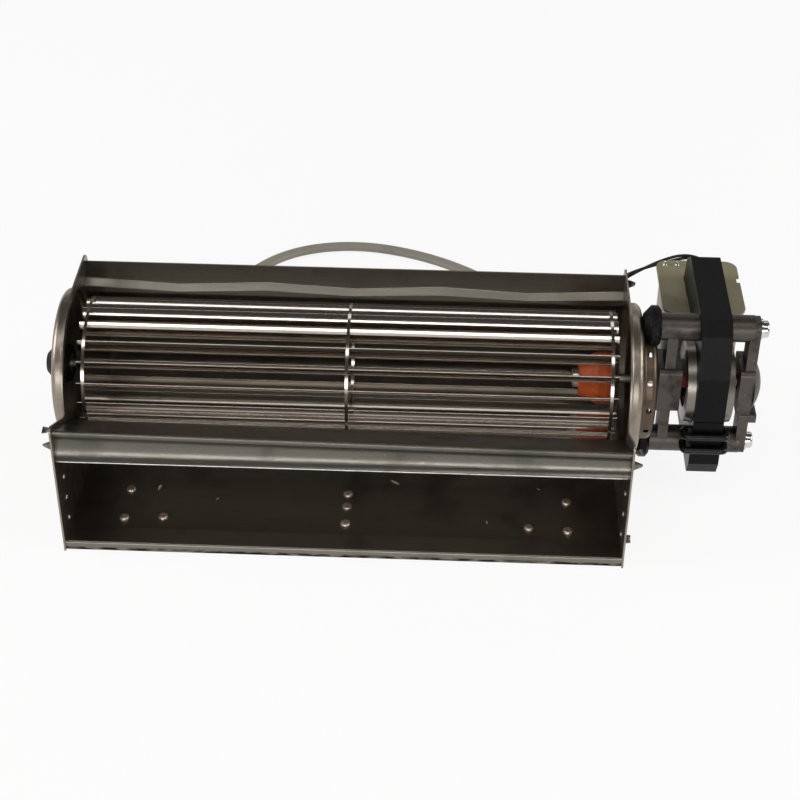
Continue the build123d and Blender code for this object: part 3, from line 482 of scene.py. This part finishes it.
@dataclass
class Leads:
    """The two thin leads from the winding to the cable, with their collar and sleeve."""

    finish: bpy.types.Material
    sleeve_finish: bpy.types.Material
    diameter: float = 1.4
    spacing: float = 1.55
    turns: float = 1.2
    route: Points = field(
        default_factory=lambda: [
            (178.0, 69.2, 59.6),
            (173.0, 77.0, 69.1),
            (159.5, 75.5, 77.6),
            (142.5, 75.0, 72.0),
            (125.5, 74.5, 62.6),
            (114.0, 74.0, 52.1),
        ]
    )

    def build(self) -> None:
        """Makes both leads, the collar at the winding and the sleeve at the cable."""
        line = spline(np.array(self.route) * MM)
        along = np.gradient(line, axis=0)
        along /= np.linalg.norm(along, axis=1, keepdims=True)
        side = np.cross(along, [0.0, 1.0, 0.0])
        side /= np.linalg.norm(side, axis=1, keepdims=True)
        other = np.cross(along, side)
        share = np.linspace(0, 2 * math.pi * self.turns, len(line))[:, None]
        offset = (np.cos(share) * side + np.sin(share) * other) * self.spacing / 2 * MM
        for name, sign in (("lead_first", 1), ("lead_second", -1)):
            path = line + sign * offset
            wire = round_tube(name, path, np.full(len(path), self.diameter / 2))
            wire.data.materials.append(self.finish)
            # Both leads ride on the housing, as their CAD solid does.
            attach(wire, "housing")
            # The two together take the place of the one CAD lead.
            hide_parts("winding_leads")
        count = len(line)
        self.fitting("lead_collar", line[: count // 8], 2.3, 1.8)
        self.fitting("lead_sleeve", line[-count // 9:], 2.0, 2.7)

    def fitting(self, name: str, path: np.ndarray, start: float, end: float) -> None:
        """Makes one short moulded tube round the leads.

        Args:
            name: name of the piece.
            path: its centreline, in metres.
            start: radius at its first end, in millimetres.
            end: radius at its second end, in millimetres.
        """
        share = np.linspace(0, 1, len(path))
        radius = start + (end - start) * share
        radius = radius - 0.5 * (np.abs(share - 0.5) * 2) ** 6
        piece = round_tube(name, path, radius)
        piece.data.materials.append(self.sleeve_finish)
        # The fitting stays with the winding and its leads.
        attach(piece, "housing")


def round_tube(name: str, path: np.ndarray, radius: np.ndarray, sides: int = 20) -> bpy.types.Object:
    """Makes a round tube of changing radius along a path.

    Args:
        name: name of the object.
        path: points of the centreline, in metres.
        radius: radius at each point, in millimetres.
        sides: points round it.

    Returns:
        The tube, closed at both ends.
    """
    angle = np.linspace(0, 2 * math.pi, sides, endpoint=False)
    profile = np.stack([np.cos(angle), np.sin(angle)], axis=1) * MM
    return sweep(name, path, profile, np.zeros(len(path)), radius)


@dataclass
class Trifles:
    """Small fittings and litter, with their sizes in millimetres.

    Attributes:
        made: materials by name.
        coil_middle: middle of the coiled cable, on the floor.
        coil_radius: radius of its turns.
        tie_bearing: where the tie sits on the coil, in degrees.
        pin_places: places of the two solder pins along the axis.
        pin_depth: how far the pins lie behind the axis.
        pin_foot: level at which they leave the bobbin.
        pin_top: level of their tips.
        dimple_levels: levels of the dimples in an end plate.
        dimple_depth: where the dimples lie, front to back.
        dimple_radius: radius of a dimple.
        plate_face: inner face of an end plate, along the axis.
        duct_floor: level of the upper face of the duct's floor.
        foot_place: middle of an outer foot, along the axis.
    """

    made: dict[str, bpy.types.Material]
    coil_middle: tuple[float, float, float] = (-48.0, 100.0, 5.75)
    coil_radius: float = 30.25
    tie_bearing: float = 62.0
    pin_places: tuple[float, float] = (146.5, 152.2)
    pin_depth: float = 67.3
    pin_foot: float = 75.6
    pin_top: float = 78.6
    dimple_levels: tuple[float, ...] = (9.4, 21.2, 32.9)
    dimple_depth: float = -53.2
    dimple_radius: float = 1.25
    plate_face: float = 123.62
    duct_floor: float = 3.0
    foot_place: float = 94.0

    def build(self) -> None:
        """Makes every small piece."""
        self.make_tie()
        self.make_pins()
        self.make_dimples()
        self.make_heads()
        self.make_cut_edge()
        self.make_flakes()

    def place(self, piece: bpy.types.Object, slot_name: str) -> None:
        """Gives a piece its finish and puts it on the housing.

        Args:
            piece: the new object.
            slot_name: the record's slot that it is painted from, or rivet (the brightened rivet finish, a
                painted highlight) or flake.
        """
        piece.data.materials.append(self.made[slot_name])
        slot_name = {"rivet": "steel", "flake": "cream_plastic"}.get(slot_name, slot_name)
        # Each trifle is fixed to the housing and turns with nothing.
        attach(piece, "housing")

    def make_tie(self) -> None:
        """Band that holds the coiled turns of the cable together."""
        angle = np.linspace(0, 2 * math.pi, 64, endpoint=False)
        cos, sin = np.cos(angle), np.sin(angle)
        across = 6.55 * np.sign(cos) * np.abs(cos) ** 0.35
        rise = 5.55 * np.sign(sin) * np.abs(sin) ** 0.35
        bearing = math.radians(self.tie_bearing)
        outward = np.array([math.cos(bearing), math.sin(bearing), 0.0])
        sideways = np.array([-math.sin(bearing), math.cos(bearing), 0.0])
        centre = np.array(self.coil_middle) + self.coil_radius * outward
        ring = centre + across[:, None] * outward + rise[:, None] * np.array([0.0, 0.0, 1.0])
        inward = (centre - ring) / np.linalg.norm(centre - ring, axis=1, keepdims=True)
        shape = [(-1.3, 0.0), (-1.1, -0.12), (1.1, -0.12), (1.3, 0.0), (1.3, 0.45), (-1.3, 0.45)]
        rows = np.stack([ring + wide * sideways + deep * inward for wide, deep in shape])
        rows = np.concatenate([rows, rows[:1]])
        band = grid_object("cable_tie", rows * MM, closed=True)
        self.place(band, "rubber")

    def make_pins(self) -> None:
        """Two solder pins in the upper flange of the bobbin."""
        height = np.linspace(self.pin_foot, self.pin_top, 8)[:, None]
        radius = np.array([1.25, 1.25, 1.1, 0.7, 0.62, 0.6, 0.35, 0.0])[:, None]
        angle = np.linspace(0, 2 * math.pi, 16, endpoint=False)
        for name, place in zip(("solder_pin_first", "solder_pin_second"), self.pin_places):
            x, y = place + radius * np.cos(angle), self.pin_depth + radius * np.sin(angle)
            pin = grid_object(name, np.stack([x, y, height + 0 * angle], axis=-1) * MM, closed=True)
            face_outwards(pin)
            self.place(pin, "screw_zinc")

    def make_dimples(self) -> None:
        """Three pressed dimples along the front edge of each end plate, in the brighter rivet finish: a
        painted highlight.
        """
        share = np.linspace(0, math.pi / 2, 7)
        angle = np.linspace(0, 2 * math.pi, 20, endpoint=False)
        for side, tag in ((-1, "idle"), (1, "drive")):
            for number, level in enumerate(self.dimple_levels):
                radius = self.dimple_radius * np.cos(share)[:, None]
                x = side * (self.plate_face - 0.7 * np.sin(share)[:, None]) + 0 * angle
                y = self.dimple_depth + radius * np.cos(angle)
                z = level + radius * np.sin(angle)
                dome = grid_object(f"dimple_{tag}_{number}", np.stack([x, y, z], axis=-1) * MM, closed=True)
                face_outwards(dome)
                # Painted highlight: the dimples take the brighter rivet finish.
                self.place(dome, "rivet")

    def make_heads(self) -> None:
        """Button heads of the duct rivets, each with its small centre mark."""
        dome = [(2.25, 0.0), (2.3, 0.6), (2.15, 1.15), (1.75, 1.55)]
        centre_mark = [(1.1, 1.72), (0.75, 1.72), (0.5, 1.5), (0.0, 1.45)]
        radius, rise = np.array(dome + centre_mark).T[:, :, None]
        angle = np.linspace(0, 2 * math.pi, 28, endpoint=False)
        places = [(0.0, -24.0), (0.0, -33.0), (0.0, -45.0)]
        outer = ((6.5, -25.0), (6.5, -45.5), (-11.0, -44.0))
        places += [(side * (self.foot_place + out), y) for side in (-1, 1) for out, y in outer]
        for number, (place, depth) in enumerate(places):
            x, y = place + radius * np.cos(angle), depth + radius * np.sin(angle)
            z = self.duct_floor + rise + 0 * angle
            head = grid_object(f"rivet_head_{number}", np.stack([x, y, z], axis=-1) * MM, closed=True)
            face_outwards(head)
            # Painted highlight: the heads take the brightened rivet finish.
            self.place(head, "rivet")

    def make_cut_edge(self) -> None:
        """Bright sheared edge under the tongue."""
        along = np.linspace(-123.4, 123.4, 60)
        path = np.stack([along, np.full(60, -64.62), np.full(60, 49.95)], axis=1) * MM
        burr = 0.30 + 0.06 * np.sin(np.linspace(0, 90, 60)) * np.cos(np.linspace(0, 37, 60))
        edge = round_tube("tongue_edge", path, burr, 10)
        self.place(edge, "screw_zinc")

    def make_flakes(self) -> None:
        """Flakes of paper and swarf that lie in the duct."""
        flakes = [
            (-87.7, -23.0, 3.4, 1.3, 75.0),
            (21.2, -14.0, 4.6, 1.2, 150.0),
            (-119.3, -61.2, 4.2, 1.1, 80.0),
            (-118.6, -57.0, 2.4, 0.9, 40.0),
            (-60.0, -30.0, 1.6, 0.7, 20.0),
            (64.0, -41.0, 1.8, 0.6, 110.0),
            (88.0, -16.0, 1.5, 0.6, 160.0),
        ]
        along, across = np.meshgrid(np.linspace(-0.5, 0.5, 9), np.linspace(-0.5, 0.5, 5), indexing="ij")
        for number, (x, y, length, width, bearing) in enumerate(flakes):
            turn = math.radians(bearing)
            ragged = 1 - 0.9 * np.abs(2 * along) ** 3 + 0.18 * np.sin(9 * along + number)
            right, ahead = across * width * ragged, along * length
            lift = self.duct_floor + 0.12 + 0.5 * (0.5 + along) ** 2 + 0.25 * np.abs(across)
            px = x + ahead * math.cos(turn) - right * math.sin(turn)
            py = y + ahead * math.sin(turn) + right * math.cos(turn)
            flake = grid_object(f"flake_{number}", np.stack([px, py, lift], axis=-1) * MM)
            thick = flake.modifiers.new("thickness", "SOLIDIFY")
            thick.thickness = 0.12 * MM
            self.place(flake, "flake")


def face_outwards(made: bpy.types.Object) -> None:
    """Closes a dome at its base and top and turns its faces outwards.

    Args:
        made: the object.
    """
    mesh = bmesh.new()
    mesh.from_mesh(made.data)
    bmesh.ops.remove_doubles(mesh, verts=mesh.verts, dist=1e-6)
    bmesh.ops.holes_fill(mesh, edges=[edge for edge in mesh.edges if edge.is_boundary])
    bmesh.ops.recalc_face_normals(mesh, faces=mesh.faces)
    mesh.to_mesh(made.data)
    mesh.free()


@dataclass
class Studio:
    """Floor, backdrop, lights and camera."""

    floor_colour: str = "f3f3f2"
    wall_colour: str = "e6e4e0"
    ceiling_colour: str = "474644"
    floor_glow: float = 0.88
    lens: float = 79.515
    place: tuple[float, float, float] = (0.0450, -0.6567, 0.5210)
    forward: tuple[float, float, float] = (-0.0274, 0.8069, -0.5900)
    up: tuple[float, float, float] = (-0.0291, 0.5893, 0.8074)

    def build(self) -> None:
        """Makes the floor, the world light, the soft lights and the camera."""
        self.make_floor()
        self.make_world()
        self.make_light("low", (-0.2, -1.5, 0.42), (0.0, 0.0, 0.08), (1.7, 0.42), 11.0)
        self.make_light("high", (-0.1, -0.62, 1.45), (0.0, 0.0, 0.05), (1.7, 0.28), 5.0)
        self.make_light("rear", (0.25, 1.15, 1.15), (0.0, 0.0, 0.05), (1.3, 0.35), 2.2)
        self.make_light("left", (-1.5, -0.2, 0.95), (0.0, 0.0, 0.05), (0.8, 0.8), 16.0)
        self.make_light("right", (1.6, -0.3, 0.95), (0.0, 0.0, 0.05), (0.8, 0.8), 16.0)
        self.make_camera()

    def make_floor(self) -> None:
        """Makes one pale sheet that curves up behind the fan and keeps its shadow."""
        bend = np.linspace(0.1, math.pi / 2, 8)
        across = np.linspace(-4.0, 4.0, 9)
        depth = np.concatenate([np.linspace(-2.0, 2.2, 8), 2.2 + 0.5 * np.sin(bend), [2.7]])
        height = np.concatenate([np.zeros(8), 0.5 - 0.5 * np.cos(bend), [0.8]])
        grid_x, grid_y = np.meshgrid(across, depth)
        grid_z = np.repeat(height[:, None], len(across), axis=1)
        floor = grid_object("floor", np.stack([grid_x, grid_y, grid_z], axis=-1))
        shader = Shader("floor")
        surface = shader.add("ShaderNodeBsdfDiffuse")
        surface.inputs["Color"].default_value = linear(self.floor_colour)
        glow = shader.add("ShaderNodeEmission")
        glow.inputs["Color"].default_value = linear("ffffff")
        path = shader.add("ShaderNodeLightPath")
        seen = shader.math("ADD", path.outputs["Is Camera Ray"], path.outputs["Is Glossy Ray"])
        seen = shader.math("ADD", seen, path.outputs["Is Transmission Ray"])
        blend = shader.add("ShaderNodeMixShader")
        output = shader.add("ShaderNodeOutputMaterial")
        shader.link(shader.math("MULTIPLY", seen, self.floor_glow), blend.inputs["Fac"])
        shader.link(surface.outputs["BSDF"], blend.inputs[1])
        shader.link(glow.outputs["Emission"], blend.inputs[2])
        shader.link(blend.outputs["Shader"], output.inputs["Surface"])
        floor.data.materials.append(shader.material)

    def make_world(self) -> None:
        """Makes a studio that is pale at eye level and dim overhead."""
        world = bpy.data.worlds.new("studio")
        world.use_nodes = True
        tree = world.node_tree
        background = tree.nodes["Background"]
        place = tree.nodes.new("ShaderNodeTexCoord")
        split = tree.nodes.new("ShaderNodeSeparateXYZ")
        tree.links.new(place.outputs["Generated"], split.inputs["Vector"])
        ramp = tree.nodes.new("ShaderNodeValToRGB")
        ramp.color_ramp.elements[0].position = 0.01
        ramp.color_ramp.elements[0].color = linear(self.wall_colour)
        ramp.color_ramp.elements[1].position = 0.16
        ramp.color_ramp.elements[1].color = linear(self.ceiling_colour)
        tree.links.new(split.outputs["Z"], ramp.inputs["Fac"])
        tree.links.new(ramp.outputs["Color"], background.inputs["Color"])
        background.inputs["Strength"].default_value = 1.0
        bpy.context.scene.world = world

    def make_light(self, name: str, place: tuple, target: tuple, size: tuple, power: float) -> None:
        """Adds one rectangular area light.

        Args:
            name: name of the light.
            place: where it stands, in metres.
            target: the point that it faces.
            size: width and height in metres.
            power: watts.
        """
        data = bpy.data.lights.new(name, "AREA")
        data.shape = "RECTANGLE"
        data.size, data.size_y = size
        data.energy = power
        light = bpy.data.objects.new(name, data)
        bpy.context.scene.collection.objects.link(light)
        light.location = place
        light.rotation_euler = (Vector(target) - Vector(place)).to_track_quat("-Z", "Y").to_euler()

    def make_camera(self) -> None:
        """Adds the camera that looks down on the fan from its outlet side."""
        data = bpy.data.cameras.new("camera")
        data.lens = self.lens
        data.sensor_width = 36.0
        data.clip_start = 0.05
        camera = bpy.data.objects.new("camera", data)
        back = -Vector(self.forward).normalized()
        right = Vector(self.up).cross(back).normalized()
        turn = Matrix((right, back.cross(right), back)).transposed().to_4x4()
        camera.matrix_world = Matrix.Translation(self.place) @ turn
        bpy.context.scene.collection.objects.link(camera)
        bpy.context.scene.camera = camera


def grid_object(name: str, points: np.ndarray, closed: bool = False) -> bpy.types.Object:
    """Makes a mesh from a grid of points.

    Args:
        name: name of the object.
        points: rows by columns by 3, in metres.
        closed: True where the last column joins the first.

    Returns:
        The new object, linked to the scene.
    """
    rows, columns = points.shape[:2]
    index = np.arange(rows * columns).reshape(rows, columns)
    if closed:
        index = np.concatenate([index, index[:, :1]], axis=1)
    quads = np.stack([index[:-1, :-1], index[:-1, 1:], index[1:, 1:], index[1:, :-1]], axis=-1).reshape(-1, 4)
    mesh = bpy.data.meshes.new(name)
    mesh.from_pydata(points.reshape(-1, 3).tolist(), [], quads.tolist())
    mesh.update()
    mesh.shade_smooth()
    made = bpy.data.objects.new(name, mesh)
    bpy.context.scene.collection.objects.link(made)
    return made


EDGES = {
    "volute_sheet": 0.14,
    "tongue_sheet": 0.14,
    "end_plate_idle": 0.18,
    "end_plate_drive": 0.18,
    "foot_idle": 0.3,
    "foot_middle": 0.3,
    "foot_drive": 0.3,
    "wheel_blades": 0.1,
    "wheel_disc_idle": 0.2,
    "wheel_disc_middle": 0.2,
    "wheel_disc_drive": 0.2,
    "motor_carrier": 0.15,
    "bracket_inner": 0.6,
    "bracket_outer": 0.6,
    "lamination_stack": 0.2,
    "coil_bobbin": 0.3,
    "coil_winding": 0.4,
    "screw_washers": 0.15,
    "rubber_mounts": 0.3,
    "rotor_end_rings": 0.3,
}


def dress_nodes() -> dict[str, bpy.types.Material]:
    """Gives every CAD node the material of its slot, smooth curves and soft edges.

    Returns:
        The materials, by slot.
    """
    made = {name: make_finish(name, finish) for name, finish in FINISHES.items()}
    for part in frame["record"]["subparts"]:
        node = frame["nodes"][part["node"]]
        node.data.materials.clear()
        own = OWN_FINISHES.get(part["node"])
        looks = make_finish(part["node"], own) if own else made[part["material_slot"]]
        node.data.materials.append(looks)
        node.data.shade_smooth()
        node.data.set_sharp_from_angle(angle=math.radians(32))
        if part["node"] in EDGES:
            soften(node, EDGES[part["node"]])
    # The brightened rivet finish, a painted highlight, also goes on the rivet heads and the dimples.
    made["rivet"] = frame["nodes"]["duct_rivets"].data.materials[0]
    made["flake"] = make_finish("flake", Finish("cdbba8", "a89a88", 0.0, 0.6, 0.7))
    LOG.info("dressed %d nodes", len(frame["nodes"]))
    return made


def soften(node: bpy.types.Object, width: float) -> None:
    """Rounds the sharp edges of a node a little, so that they catch the light.

    Args:
        node: the CAD node.
        width: width of the round in millimetres.
    """
    bevel = node.modifiers.new("soft edges", "BEVEL")
    bevel.width = width * MM
    bevel.segments = 2
    bevel.limit_method = "ANGLE"
    bevel.angle_limit = math.radians(40)
    bevel.harden_normals = True


def main() -> None:
    """Builds the whole scene."""
    logging.basicConfig(level=logging.INFO)
    bpy.context.scene.view_settings.view_transform = "Standard"
    made = dress_nodes()
    Leads(made["lead_sheath"], made["rubber"]).build()
    Cable(made["cable_sheath"]).build()
    Trifles(made).build()
    Studio().build()


if __name__ == "__main__":
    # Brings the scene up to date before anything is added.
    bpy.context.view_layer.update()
    main()
